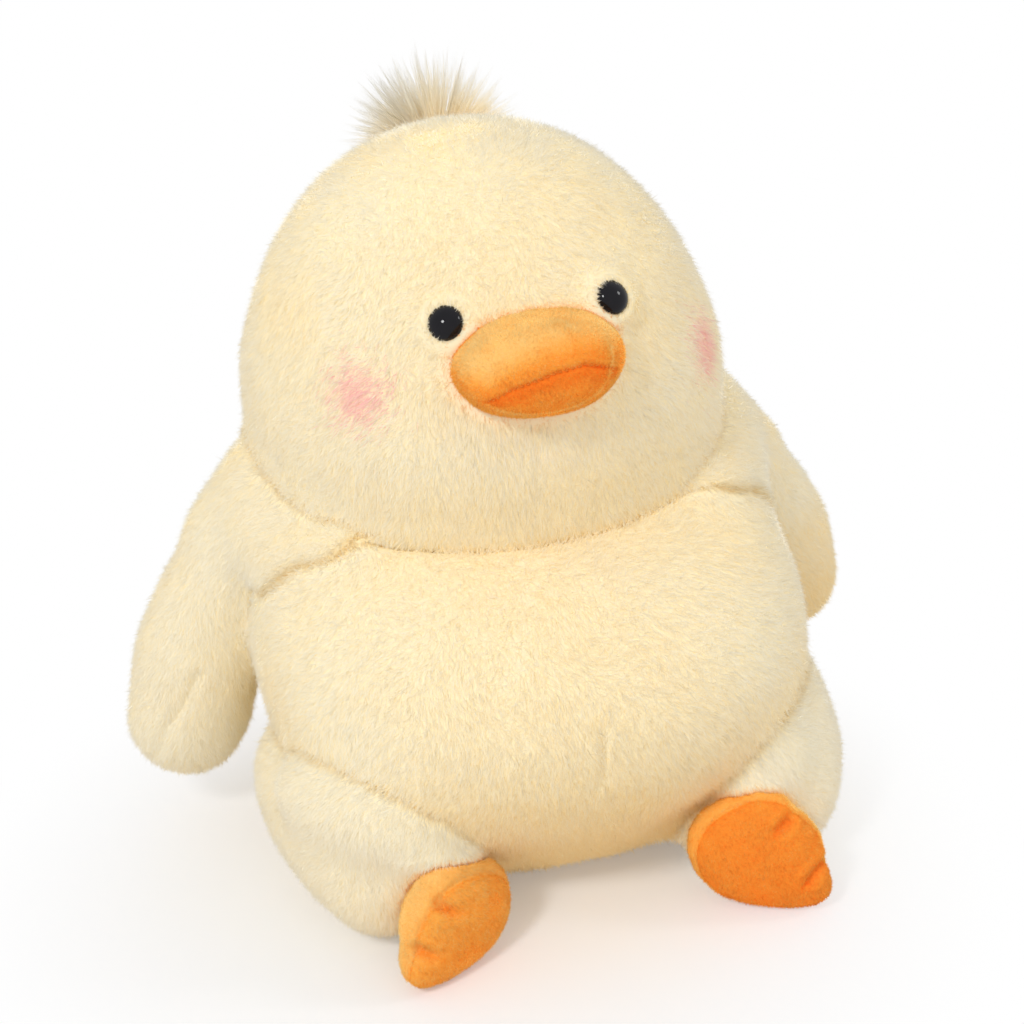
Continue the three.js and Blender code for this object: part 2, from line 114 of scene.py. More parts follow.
# %% The floor, the world and the lamps
FLOOR_SIZE = 8.0
WORLD_LEVEL = 0.62
SHADOW_NEAR, SHADOW_FAR, SHADOW_MIDDLE = 0.06, 0.21, (-0.035, -0.02, 0)


def colour(red, green, blue):
    """A colour given as 0 to 255, in the linear numbers that Blender's sockets take."""
    def linear(value):
        value /= 255
        return value / 12.92 if value <= 0.04045 else ((value + 0.055) / 1.055) ** 2.4
    return linear(red), linear(green), linear(blue), 1.0


def new_material(name, base, roughness, specular=0.5):
    """A Principled material with constants on its sockets, and its nodes for further work."""
    material = bpy.data.materials.new(name)
    material.use_nodes = True
    shader = material.node_tree.nodes["Principled BSDF"]
    shader.inputs["Base Color"].default_value = base
    shader.inputs["Roughness"].default_value = roughness
    shader.inputs["Specular IOR Level"].default_value = specular
    return material, material.node_tree, shader


def link(tree, source, target):
    tree.links.new(source, target)


def add_node(tree, kind, sockets=None, **settings):
    """A new node of a material. Each socket takes a fixed value or another node's output."""
    node = tree.nodes.new("ShaderNode" + kind)
    for setting, value in settings.items():
        setattr(node, setting, value)
    for socket, value in (sockets or {}).items():
        if isinstance(value, bpy.types.NodeSocket):
            link(tree, value, node.inputs[socket])
        else:
            node.inputs[socket].default_value = value
    return node


def mixed(tree, factor, one, other):
    """A node that goes from one colour to another."""
    shades = {"Factor": factor, "A": one, "B": other}
    return add_node(tree, "Mix", shades, data_type="RGBA").outputs["Result"]


def greater(tree, one, other):
    """A node that gives the larger of two values."""
    return add_node(tree, "Math", {0: one, 1: other}, operation="MAXIMUM").outputs[0]


def backdrop_rays(tree):
    rays = add_node(tree, "LightPath").outputs
    seen = greater(tree, rays["Is Camera Ray"], rays["Is Glossy Ray"])
    return greater(tree, seen, rays["Is Transmission Ray"])


world = bpy.data.worlds.new("studio")
scene.world = world
world.use_nodes = True
tree = world.node_tree
strength = add_node(tree, "Mix", {"Factor": backdrop_rays(tree), "A": WORLD_LEVEL, "B": 1.0})
link(tree, strength.outputs["Result"], tree.nodes["Background"].inputs["Strength"])
tree.nodes["Background"].inputs["Color"].default_value = (1, 1, 1, 1)

sweep, tree, shader = new_material("white_sweep", (0.93, 0.93, 0.93, 1), 1.0)
paper = mixed(tree, backdrop_rays(tree), (0.94, 0.87, 0.78, 1), (0.99, 0.99, 1.0, 1))
link(tree, paper, shader.inputs["Base Color"])
where = add_node(tree, "TexCoord").outputs["Object"]
reach = add_node(tree, "VectorMath", {0: where, 1: SHADOW_MIDDLE}, operation="DISTANCE").outputs["Value"]
limits = {"Value": reach, "From Min": SHADOW_NEAR, "From Max": SHADOW_FAR, "To Min": 0.2, "To Max": 1.0}
fade = add_node(tree, "MapRange", limits, interpolation_type="SMOOTHSTEP").outputs["Result"]
share = add_node(tree, "Math", {0: fade, 1: backdrop_rays(tree)}, operation="MULTIPLY").outputs[0]
white = add_node(tree, "Emission", {"Color": (1, 1, 1, 1)}).outputs[0]
both = add_node(tree, "MixShader", {"Fac": share, 1: shader.outputs[0], 2: white})
link(tree, both.outputs[0], tree.nodes["Material Output"].inputs["Surface"])


def new_piece(name, bm):
    """A piece from a bmesh, which is then freed."""
    piece = new_object(name, bpy.data.meshes.new(name))
    bm.to_mesh(piece.data)
    bm.free()
    return piece


bm = bmesh.new()
bmesh.ops.create_grid(bm, x_segments=1, y_segments=1, size=FLOOR_SIZE / 2)
floor = new_piece("floor", bm)
floor.data.materials.append(sweep)


def lamp(name, place, size, power):
    light = new_object(name, bpy.data.lights.new(name, "AREA"))
    light.data.shape = "DISK"
    light.data.size = size
    light.data.energy = power
    light.location = place
    light.rotation_euler = (AIM - Vector(place)).to_track_quat("-Z", "Y").to_euler()
    return light


key = lamp("key", (-1.35, -1.4, 1.9), 0.5, 22.6)
fill = lamp("fill", (2.0, -0.5, 1.4), 0.5, 6.5)
print("lamps:", key.name, key.data.energy, fill.name, fill.data.energy)

# %% [markdown]
# Every cover starts as the CAD cover and its filling, copied, joined and remeshed into one closed
# skin of even small faces. What a neighbour takes up is cut away, so that pressed cloths meet and
# don't run through each other. A cloth simulation with a little pressure then does what stuffing
# does: it rounds the facets off. Away from its neighbours the skin is let in, for the pile.

# %% Helpers that turn CAD covers into skins
KNEE = 40
FLOOR_GAP = 0.3
PRESSED, LOOSE = 0.8, 8.0
PUSH_BACK = 0.52
CLEARANCE = 0.35
PRESSURE, FRAMES = 4.0, 20


def joined(nodes, pads=(), lower=0):
    """Copies of CAD nodes in one bmesh, merged from their loose triangles, with pads added.
    lower takes that share of its height above the knee off the form."""
    bm = bmesh.new()
    for node in nodes:
        bm.from_mesh(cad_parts[node].data)
    bmesh.ops.remove_doubles(bm, verts=bm.verts, dist=0.001 * MM)
    for vert in bm.verts:
        vert.co.z -= lower * max(0, vert.co.z - KNEE * MM)
    for centre, radius in pads:
        place = Matrix.Translation(Vector(centre) * MM)
        bmesh.ops.create_uvsphere(bm, u_segments=24, v_segments=16, radius=radius * MM, matrix=place)
    return bm


def settle(piece):
    """Applies every modifier of a piece to its mesh."""
    graph = bpy.context.evaluated_depsgraph_get()
    mesh = bpy.data.meshes.new_from_object(piece.evaluated_get(graph))
    piece.modifiers.clear()
    piece.data = mesh
    return piece


def remesh(piece, size):
    step = piece.modifiers.new("remesh", "REMESH")
    step.mode = "VOXEL"
    step.voxel_size = size * MM
    return settle(piece)


def cut_by(piece, others):
    for other in others:
        step = piece.modifiers.new("cut", "BOOLEAN")
        step.operation = "DIFFERENCE"
        step.object = other
    return settle(piece)


def rows_of(collection, field):
    flat = np.empty(len(collection) * 3, np.float32)
    collection.foreach_get(field, flat)
    return flat.reshape(-1, 3)


def places(piece):
    return rows_of(piece.data.vertices, "co")


def lengths(vectors):
    return np.linalg.norm(vectors, axis=1)


def outward(piece):
    return rows_of(piece.data.vertex_normals, "vector")


def move_to(piece, points):
    piece.data.vertices.foreach_set("co", np.asarray(points, np.float32).ravel())
    piece.data.update()


def relax(piece, rounds, back=0.0):
    """Smooths a mesh. back pushes it out again after each round, so that only its steps go."""
    bm = bmesh.new()
    bm.from_mesh(piece.data)
    for part in ([0.5, -back] if back else [0.5]) * rounds:
        bmesh.ops.smooth_vert(bm, verts=bm.verts, factor=part,
                              use_axis_x=True, use_axis_y=True, use_axis_z=True)
    bm.to_mesh(piece.data)
    bm.free()
    piece.data.update()


def ramp(values, low, high):
    share = np.clip((values - low) / (high - low), 0, 1)
    return share * share * (3 - 2 * share)


def tree_of(piece):
    return BVHTree.FromPolygons([v.co for v in piece.data.vertices],
                                [p.vertices for p in piece.data.polygons])


def room(points, neighbours, reach=25, solid=False):
    """How far each point lies from the nearest neighbour, in mm. Within a solid one that is 0."""
    gaps = np.full(len(points), float(reach))
    for tree in neighbours:
        for i, point in enumerate(points):
            place, normal, _, far = tree.find_nearest(Vector(point), reach * MM)
            if place is not None:
                within = solid and (Vector(point) - place).dot(normal) < 0
                gaps[i] = 0 if within else min(gaps[i], far / MM)
    return gaps


def keep_clear(piece, neighbours):
    """Lifts any vertex that lies in a neighbour, or too near to it, out to its surface."""
    points = places(piece)
    for tree in neighbours:
        for i, point in enumerate(points):
            place, normal, _, far = tree.find_nearest(Vector(point), 6 * MM)
            if place is not None and (Vector(point) - place).dot(normal) < CLEARANCE * MM:
                points[i] = place + normal * CLEARANCE * MM
    move_to(piece, points)


def stuff(piece, cap):
    """Lets a cloth simulation fill a skin out, and caps how far any point may swell."""
    before = places(piece)
    cloth = piece.modifiers.new("filling", "CLOTH")
    cloth.settings.use_pressure = True
    cloth.settings.uniform_pressure_force = PRESSURE
    cloth.settings.effector_weights.gravity = 0
    for number in range(1, FRAMES + 1):
        scene.frame_set(number)
    settle(piece)
    scene.frame_set(1)
    swell = places(piece) - before
    most = np.minimum(1, cap * MM / np.maximum(lengths(swell), 1e-9))
    move_to(piece, before + swell * most[:, None])


def subdivide(piece):
    step = piece.modifiers.new("fine", "SUBSURF")
    step.levels = step.render_levels = 1
    return settle(piece)


cad_nodes, blanks, skins = {}, {}, {}


def blank(name, nodes, size, pads=(), lower=0):
    """The plain closed form of a stuffed part, kept for cutting its neighbours."""
    cad_nodes[name] = nodes
    blanks[name] = remesh(new_piece(name + "_blank", joined(nodes, pads, lower)), size)


def sew(name, cutters, touching, size, inset, rounds=6, cap=3.0):
    """The skin of a stuffed part, which stands for the CAD nodes it was copied from."""
    others = [blanks[n] for n in cutters]
    piece = new_object(name + "_skin", blanks[name].data.copy())
    remesh(cut_by(piece, others), size)
    trees = [tree_of(other) for other in others]
    relax(piece, 10, back=PUSH_BACK)
    keep_clear(piece, trees)
    shape = places(piece)
    stuff(piece, cap)
    relax(piece, rounds)
    trees += [tree_of(blanks[n]) for n in touching]
    free = ramp(room(shape, trees, solid=True), PRESSED, LOOSE)[:, None]
    move_to(piece, shape + (places(piece) - shape) * free - outward(piece) * inset * MM * free)
    relax(piece, 3)
    subdivide(piece)
    shape = places(piece)
    shape[:, 2] = np.maximum(shape[:, 2], FLOOR_GAP * MM)
    move_to(piece, shape)
    skins[name] = piece
    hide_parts(*cad_nodes[name])
    print(name, len(piece.data.polygons), "faces")
    return piece

# %% [markdown]
# The plain forms come first. The shoulder's sewing pulls a fold of cloth up to the cheek, so each
# wing gets a row of pads that bridge from its root to the crease below the head.

# %% Plain forms of all stuffed parts
SIDES = {"right": -1, "left": 1}
SHOULDER_PADS = [((60, -7, 138), 10.5), ((71, -3, 133), 14), ((82, 12, 120), 17.5),
                 ((86, 34, 124), 20.5), ((87, 52, 134), 22), ((83, 34, 133), 20),
                 ((83, 56, 150), 16), ((86, 68, 130), 20), ((100, 56, 117), 22.5)]
NECK_PADS = [((62, -2, 136), 13), ((70, 8, 134), 15.5), ((76, 22, 137), 16), ((80, 38, 143), 17)]
WING_PADS = [((111, 56, 94), 23.5), ((121.5, 56, 72), 25), ((125.5, 56, 52), 25), ((127.5, 56, 43), 22.5)]
WING_SWEEP = {"right": 0, "left": 18}
THIGH_PADS = [((81, -34, 56), 23), ((67, -51, 49), 25), ((84, -9, 42), 24), ((54, -48, 22), 19.5)]
SEAT_PADS = [((-28, -20, 44), 41), ((-8, -20, 44), 43.5), ((12, -20, 44), 43.5), ((30, -20, 44), 41)]
THIGH_ROLLS = {
    "right": [((98.7, -32, 62), 14), ((94.5, -38.7, 61.7), 17), ((87.8, -45.1, 60.6), 19.5),
              ((79.3, -56.5, 59), 19), ((70.9, -63.5, 56.8), 17), ((63.6, -67.5, 54.7), 14.5),
              ((57.9, -68.3, 51.4), 12.5), ((53.2, -67.1, 47), 11.2), ((49.3, -65.3, 42.2), 10),
              ((45.9, -61.4, 35.7), 9.4), ((43.8, -57.1, 28.6), 9.2), ((42.5, -53.2, 21.8), 9.4)],
    "left": [((54.2, -60, 29.6), 12), ((50.6, -56.5, 24.7), 10), ((47.1, -56.4, 21.8), 9.5),
             ((44.9, -56.5, 18.7), 9), ((43.7, -56, 15), 8)],
}
THIGH_TUCK = {"right": 3.2, "left": -1.5}
PIVOT_BACK, PIVOT_HEIGHT = 56, 112


def string(pads):
    """The same pads with more strung between each pair, so that they make one smooth roll."""
    more = []
    for (start, thin), (end, thick) in zip(pads[:-1], pads[1:]):
        for share in (0, 0.25, 0.5, 0.75):
            more.append((tuple(Vector(start).lerp(Vector(end), share)), thin + (thick - thin) * share))
    return more + [pads[-1]]


def swept(pads, angle):
    """Turns pads that hang from the shoulder backwards about its level."""
    turn = Matrix.Rotation(radians(angle), 3, "X")
    pivot = Vector((0, PIVOT_BACK, PIVOT_HEIGHT))
    return [(tuple(pivot + turn @ (Vector(centre) - pivot)), radius) for centre, radius in pads]


blank("body", ["body_cover", "body_stuffing"], 3.6, SEAT_PADS)
blank("head", ["head_cover", "head_stuffing"], 4.0)
blank("bill", ["bill_upper", "bill_lower", "bill_stuffing"], 1.3)
for side, sign in SIDES.items():
    hung = string(SHOULDER_PADS) + string(NECK_PADS) + string(swept(WING_PADS, WING_SWEEP[side]))
    pads = [((sign * x, y, z), radius) for (x, y, z), radius in hung]
    blank(f"wing_{side}", [f"wing_cover_{side}", f"wing_stuffing_{side}"], 3.4, pads)
    pads = [((sign * x, y, z), radius) for (x, y, z), radius in THIGH_PADS + string(THIGH_ROLLS[side])]
    blank(f"leg_{side}", [f"leg_cover_{side}", f"leg_stuffing_{side}"], 3.4, pads, 0.2)
    points = places(blanks[f"leg_{side}"])
    points[:, 0] -= sign * THIGH_TUCK[side] * MM * ramp(sign * points[:, 0] / MM, 70, 112)
    move_to(blanks[f"leg_{side}"], points)
    blank(f"foot_{side}", [f"foot_sole_{side}", f"foot_upper_{side}", f"foot_stuffing_{side}"], 1.5)

# %% [markdown]
# The head of the toy leans a little to its right, as hand-turned plush does, so its plain form is
# sheared before its skin is made. The brow is drawn in and the crown stands up a little.

# %% Body and head skins
HEAD_SHIFT, HEAD_LEAN, HEAD_MIDDLE = 1.5, 0.03, 176
BROW_PINCH, CROWN_LIFT = 0.025, 4.0
head_form = tree_of(blanks["head"])
points = places(blanks["head"])
points[:, 0] -= HEAD_SHIFT * MM + HEAD_LEAN * (points[:, 2] - HEAD_MIDDLE * MM)
height = points[:, 2] / MM
points[:, 0] *= 1 - BROW_PINCH * ramp(height, 180, 215) * (1 - ramp(height, 240, 268))
points[:, 2] += CROWN_LIFT * MM * ramp(height, 200, 269)
move_to(blanks["head"], points)
head = sew("head", [], ["body", "wing_right", "wing_left", "bill"], 4.5, inset=2.0, rounds=8)
body = sew("body", ["head"], ["wing_right", "wing_left", "leg_right", "leg_left"], 4.5, inset=2.0)

# %% [markdown]
# Wings and legs are sewn to the body. Each is cut by a slightly smaller copy of it, so that the
# cloth dips a little way under the body's and the sewn line stays smooth. The filling is firm in a
# leg and soft in a wing, and the wings are smoothed more for it.

# %% Wing and leg skins
SEWN_IN = 2.5
feet = {}
for name in ("body", "head"):
    core = new_object(name + "_core", blanks[name].data.copy())
    move_to(core, places(core) - outward(core) * SEWN_IN * MM)
    blanks[name + "_core"] = remesh(core, 3.6)
for side in SIDES:
    sew(f"leg_{side}", ["body_core"], [f"foot_{side}"], 3.6, inset=3.0)
    sew(f"wing_{side}", ["body_core", "head_core", f"leg_{side}"], [], 3.6, inset=0.8, rounds=12)

# %% [markdown]
# The feet and the bill are velvet, so their shape shows without any long pile over it. They get a
# finer mesh than the fur skins. The bill's far end is narrower than its near end.

# %% Foot and bill skins
BILL_TAPER, ROOT_WIDER, ROOT_LOWER = 0.15, 3.2, 1.6
points = places(blanks["bill"])
points[:, 0] *= 1 - BILL_TAPER * ramp(points[:, 0] / MM, 4, 26)
base = ramp(points[:, 1] / MM, -50, -38)
points[:, 0] += ROOT_WIDER * MM * base * ramp(points[:, 0] / MM, 4, 24)
points[:, 2] -= ROOT_LOWER * MM * base * ramp(-points[:, 2] / MM, -206, -196)
move_to(blanks["bill"], points)
bill = sew("bill", ["head"], [], 1.4, inset=0.4, rounds=8, cap=1.5)
FOOT_FIT = {"right": ((4.0, 0, 0), (1, 1, 0.95)), "left": ((2.5, 0, 0), (1.06, 1, 1))}
for side in SIDES:
    shift, size = (np.array(part) for part in FOOT_FIT[side])
    points = places(blanks[f"foot_{side}"])
    centre = points.mean(0) * (1, 1, 0)
    move_to(blanks[f"foot_{side}"], centre + (points - centre) * size + shift * MM)
    feet[side] = sew(f"foot_{side}", [f"leg_{side}"], [], 1.5, inset=0.4, rounds=5, cap=1.5)
for form in blanks.values():
    bpy.data.objects.remove(form)

# %% [markdown]
# A sewn crease or a fold is a line that the thread pulls into the filling. The photograph gives
# its path in pixels, each pixel's line of sight finds the cloth, and the skin is pressed in near
# the path. A pillow on each side comes by itself, from the distance to the line.

# %% Creases and folds
def hits(piece, pixels):
    tree = tree_of(piece)
    found = [tree.ray_cast(eye_point, sight(pixel))[0] for pixel in pixels]
    return [point for point in found if point is not None]


def near_line(points, line):
    """For each point, its distance in mm from a path, and the share of the path it is nearest."""
    best, at = np.full(len(points), 1e9), np.zeros(len(points))
    for k, (start, end) in enumerate(zip(line[:-1], line[1:])):
        start, span = np.array(start), np.array(end - start)
        share = np.clip(((points - start) @ span) / max(span @ span, 1e-12), 0, 1)
        far = lengths(points - start - share[:, None] * span)
        closer = far < best
        best[closer], at[closer] = far[closer], (k + share[closer]) / (len(line) - 1)
    return best / MM, at


def crease(piece, line, width, depth, fade=False, puff=0.0):
    """Presses a path in. fade lets it die out at its end, puff swells the cloth on both sides."""
    points = places(piece)
    far, at = near_line(points, line)
    fall = depth * np.exp(-(far / width) ** 2) - puff * np.exp(-((far - 2.4 * width) / width) ** 2)
    if fade:
        fall = fall * (1 - ramp(at, 0.55, 1.0))
    move_to(piece, points - outward(piece) * (fall * MM)[:, None])


BELLY_DIMPLE = [(604, 728), (603, 750), (603, 772), (602, 784)]
WING_FOLD = [(197, 672), (188, 694), (178, 712), (168, 727), (160, 751)]
MOUTH = [(468, 411), (489, 402), (512, 390), (543, 379), (558, 373), (585, 365), (601, 366), (616, 369)]
LIP_RIM = [(488, 404), (505, 411), (527, 414), (549, 413), (578, 405), (599, 392), (609, 376),
           (612, 361), (611, 346)]
TOE_FOLDS = {
    "right": [[(438, 903), (446, 909), (456, 913), (470, 914)], [(418, 949), (430, 955), (444, 961)]],
    "left": [[(796, 806), (789, 820), (781, 830), (773, 838)],
             [(829, 852), (822, 862), (815, 873), (808, 884), (800, 890)]],
}

crease(body, hits(body, BELLY_DIMPLE), 1.8, 2.2)
crease(skins["wing_right"], hits(skins["wing_right"], WING_FOLD), 1.9, 1.7)
mouth = hits(bill, MOUTH)
crease(bill, mouth, 1.1, 0.9)
crease(bill, hits(bill, LIP_RIM), 0.8, 0.7)
for side, foot in feet.items():
    for fold in TOE_FOLDS[side]:
        path = hits(foot, fold)
        crease(foot, path, 1.7, 2.3, fade=True, puff=0.8)
        crease(foot, path, 0.8, 1.2, fade=True)

# %% [markdown]
# Eyes and bill are sewn through the cloth, so there the skin keeps to the CAD head exactly. The
# lean of the head fades out towards them.

# %% Cloth at the eyes and the bill
EYE_BANKS = (4.0, 4.6)
eye_axes = []


def middle_of(node):
    return np.array(sum(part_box(node), Vector()) / 2)


middle = middle_of("head_cover")
for side in SIDES:
    points = np.array([v.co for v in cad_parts[f"eye_{side}"].data.vertices])
    far = lengths(points - middle)
    low, high = points[far.argmin()], points[far.argmax()]
    reach = np.linalg.norm(high - low)
    eye_axes.append((low, (high - low) / reach, reach))


def from_axis(points, axis):
    low, way, _ = axis
    span = points - low
    return lengths(span - (span @ way)[:, None] * way) / MM


anchors = [middle_of(f"eye_{side}") for side in SIDES]
points = places(head)
hold = sum(np.exp(-(lengths(points - spot) / (13 * MM)) ** 4) for spot in anchors)
hold = np.clip(np.maximum(hold, 1 - ramp(room(points, [tree_of(bill)]), 2, 14)), 0, 1)
for i in np.nonzero(hold > 0.01)[0]:
    place, normal, _, _ = head_form.find_nearest(Vector(points[i]))
    bank = sum(high * exp(-((from_axis(points[i:i + 1], axis)[0] - 8) / 3) ** 2)
               for high, axis in zip(EYE_BANKS, eye_axes))
    points[i] += hold[i] * (np.array(place + normal * (bank - 0.4) * MM) - points[i])
move_to(head, points)
relax(head, 1)
print("held vertices:", int((hold > 0.5).sum()))

# %% [markdown]
# The rim seam of each foot joins the deep orange sole to the paler upper panel. Its visible stretch
# is close to flat, so a plane is laid through the points where its pixels meet the skin, and the
# seam follows that plane all round the foot.

# %% Foot rim seams
FOOT_SEAMS = {
    "right": [(489, 876), (474, 871), (455, 881), (441, 891), (436, 914), (421, 932), (419, 951), (407, 976)],
    "left": [(697, 842), (706, 827), (721, 815), (733, 808), (755, 801), (773, 800), (786, 804), (792, 811)],
}
seam_planes = {}
for side, foot in feet.items():
    path = np.array(hits(foot, FOOT_SEAMS[side]))
    way = np.linalg.svd(path - path.mean(0))[2][2]
    back_way = middle_of(f"foot_upper_{side}") - middle_of(f"foot_sole_{side}")
    seam_planes[side] = path.mean(0), way * np.sign(way @ back_way)


def over_seam(points, side):
    """How far points lie on the upper's side of a foot's rim seam, in mm."""
    middle, way = seam_planes[side]
    return (points - middle) @ way / MM


for side, foot in feet.items():
    points = places(foot)
    fall = np.exp(-(over_seam(points, side) / 0.7) ** 2)[:, None]
    move_to(foot, points - outward(foot) * fall * 0.8 * MM)
    print(side, "foot seam plane faces", np.round(seam_planes[side][1], 2))

# %% [markdown]
# Pile is made of real strands, each a thin blade that rises from the cloth and lies over in the
# direction it was combed. The helpers scatter the roots and gather them in small locks. Every
# blade gets the normal of the cloth below it, so that the coat shades softly, and reads its dye
# from a card: one way across the card picks the dye, and the other way runs from root to tip,
# where the darker roots are partly painted shade.

# %% Scattering, locks and drift
def jitter(cells, seed):
    """Three repeatable random numbers for each cell of a grid."""
    n = cells.astype(np.int64) @ np.array([374761393, 668265263, 2246822519]) + seed * 97531
    out = []
    for k in range(3):
        n = ((n ^ (n >> 13)) * 1274126177 + k * 7919) & 0xFFFFFFFF
        out.append(n / 0xFFFFFFFF)
    return np.stack(out, 1)


def lock_centres(roots, size, seed):
    """For each root, the middle of the lock of pile that it belongs to."""
    cell = np.floor(roots / size)
    best, nearest = roots.copy(), np.full(len(roots), 1e9)
    for step in np.ndindex(3, 3, 3):
        other = cell + np.array(step) - 1
        centre = (other + jitter(other, seed)) * size
        far = lengths(centre - roots)
        closer = far < nearest
        best[closer], nearest[closer] = centre[closer], far[closer]
    return best


def drift(points, size, seed):
    """Smooth wandering between about -1 and 1 on three axes, for comb marks and dye patches."""
    rng = np.random.default_rng(seed)
    total = np.zeros((len(points), 3))
    for _ in range(7):
        wave = rng.normal(size=(3, 3)) / size
        total += np.sin(points @ wave + rng.uniform(0, 2 * pi, 3))
    return total / 3


def unit(vectors):
    return vectors / np.maximum(lengths(vectors)[:, None], 1e-9)


def scatter(piece, count, rng, maps, normals):
    """Random roots on a skin, with the cloth's direction and the values of the maps at each."""
    points = places(piece)
    piece.data.calc_loop_triangles()
    corners = np.empty(len(piece.data.loop_triangles) * 3, np.int32)
    piece.data.loop_triangles.foreach_get("vertices", corners)
    corners = corners.reshape(-1, 3)
    a, b, c = (points[corners[:, k]] for k in range(3))
    weight = lengths(np.cross(b - a, c - a))
    if "share" in maps:
        weight = weight * maps["share"][corners].mean(1)
    pick = rng.choice(len(weight), count, p=weight / weight.sum())
    u, v = rng.random(count), rng.random(count)
    over = u + v > 1
    u[over], v[over] = 1 - u[over], 1 - v[over]
    mix = np.stack([1 - u - v, u, v], 1)
    roots = (points[corners[pick]] * mix[:, :, None]).sum(1)
    facing = unit((normals[corners[pick]] * mix[:, :, None]).sum(1))
    return roots, facing, {name: (values[corners[pick]] * mix).sum(1) for name, values in maps.items()}

# %% [markdown]
# One blade is a row of narrow faces that taper to a tip. An operator for each of a million blades
# would take hours, so the rows are laid out as arrays and given to the mesh in one go.

# %% Building the blades
ROOT_DEPTH, TIP_TAPER, DYE_WIDTH = 0.3, 0.7, 0.004


def blades(name, roots, facing, steps, widths, dye, softness, rng):
    """One mesh of tapered blades. steps holds the moves from root to tip of every blade. The floor
    presses flat whatever would go below it."""
    count, parts = len(roots), len(steps)
    side = unit(np.cross(steps[0], facing)) * widths[:, None] / 2
    line, centre = [roots], roots
    for step in steps:
        centre = centre + step
        centre[:, 2] = np.maximum(centre[:, 2], FLOOR_GAP * MM)
        line.append(centre)
    rows, cards = [], []
    for k in range(parts):
        taper = 1 - TIP_TAPER * (k / parts) ** 1.5
        rows += [line[k] - side * taper, line[k] + side * taper]
        cards += [(dye - DYE_WIDTH, k / parts), (dye + DYE_WIDTH, k / parts)]
    rows.append(line[-1])
    cards.append((dye, 1.0))
    rings = len(rows)
    points = np.stack(rows, 1).reshape(-1, 3)
    card = np.stack([np.stack([d, np.full(count, h)], 1) for d, h in cards], 1).reshape(-1, 2)
    faces = []
    for k in range(parts - 1):
        faces += [(2 * k, 2 * k + 1, 2 * k + 3), (2 * k, 2 * k + 3, 2 * k + 2)]
    faces.append((rings - 3, rings - 2, rings - 1))
    way = np.cross(points[faces[0][1]] - points[faces[0][0]], points[faces[0][2]] - points[faces[0][0]])
    faces = np.array(faces)[None] + (np.arange(count) * rings)[:, None, None]
    if way @ facing[0] < 0:
        faces = faces[:, :, ::-1]
    faces = faces.reshape(-1, 3)
    mesh = bpy.data.meshes.new(name)
    mesh.vertices.add(len(points))
    mesh.vertices.foreach_set("co", points.astype(np.float32).ravel())
    mesh.loops.add(faces.size)
    mesh.loops.foreach_set("vertex_index", faces.astype(np.int32).ravel())
    mesh.polygons.add(len(faces))
    mesh.polygons.foreach_set("loop_start", np.arange(0, faces.size, 3, dtype=np.int32))
    mesh.update(calc_edges=True)
    for layer in ("card", "OFBake"):
        uv = mesh.uv_layers.new(name=layer)
        uv.data.foreach_set("uv", card[faces.ravel()].astype(np.float32).ravel())
    shade = unit(facing + rng.normal(0, softness, facing.shape))
    mesh.normals_split_custom_set_from_vertices(np.repeat(shade, rings, 0).tolist())
    piece = new_object(name, mesh)
    print(name, len(faces), "faces")
    return piece


def pile(name, skin, count, length, width, comb, dye_of, seed, rise, stray, gather, maps,
         lock=2.6, softness=0.2, normals=None):
    """A coat of pile on a skin. Lengths are in mm, and rise says how steep the pile stands."""
    rng = np.random.default_rng(seed)
    normals = outward(skin) if normals is None else normals
    roots, facing, found = scatter(skin, count, rng, maps, normals)
    lean = comb(roots, facing) + stray * rng.normal(size=roots.shape)
    lean = unit(lean - (lean * facing).sum(1, keepdims=True) * facing)
    reach = length * MM * rng.uniform(0.7, 1.25, count) * found.get("short", 1.0)
    pull = lock_centres(roots, lock * MM, seed) - roots
    pull -= (pull * facing).sum(1, keepdims=True) * facing
    tilt = rng.normal(0, 0.15, count)
    height = np.clip(rise + tilt + 0.4 * found.get("steep", 0), 0.08, 0.98)[:, None]
    way = facing * height + lean * np.sqrt(1 - height ** 2)
    step = way * reach[:, None] + gather * pull
    dye = np.clip(dye_of(roots, rng, found), 0.006, 0.994)
    widths = width * MM * rng.uniform(0.7, 1.3, count)
    return blades(name, roots - facing * ROOT_DEPTH * MM, facing, [step], widths, dye, softness, rng)

# %% [markdown]
# Two dye cards serve the whole toy. The cream card runs from a golden painted shade for creases to
# a warm cream and a pale one, then to the blush and to an orange that paints the light that bill
# and feet throw on the fur beside them. The orange card runs from the deep sole to the pale top
# panel, whose paleness is partly painted sheen. Along each strand the dye runs from a darker, warmer
# root to a paler tip, partly as painted shade from deep in the pile. Thin fibres also let light
# through, so a share of each pile material is translucent.

# %% Dye cards and the pile materials
UNDER_GLOW = 0.85


def dye_card(tree, stops, place):
    """The dye at a place between 0 and 1 on a card of dyes."""
    card = add_node(tree, "ValToRGB", {"Fac": place})
    for k, (at, value) in enumerate(stops):
        stop = card.color_ramp.elements[k] if k < 2 else card.color_ramp.elements.new(at)
        stop.position = at
        stop.color = colour(*value)
    return card.outputs["Color"]


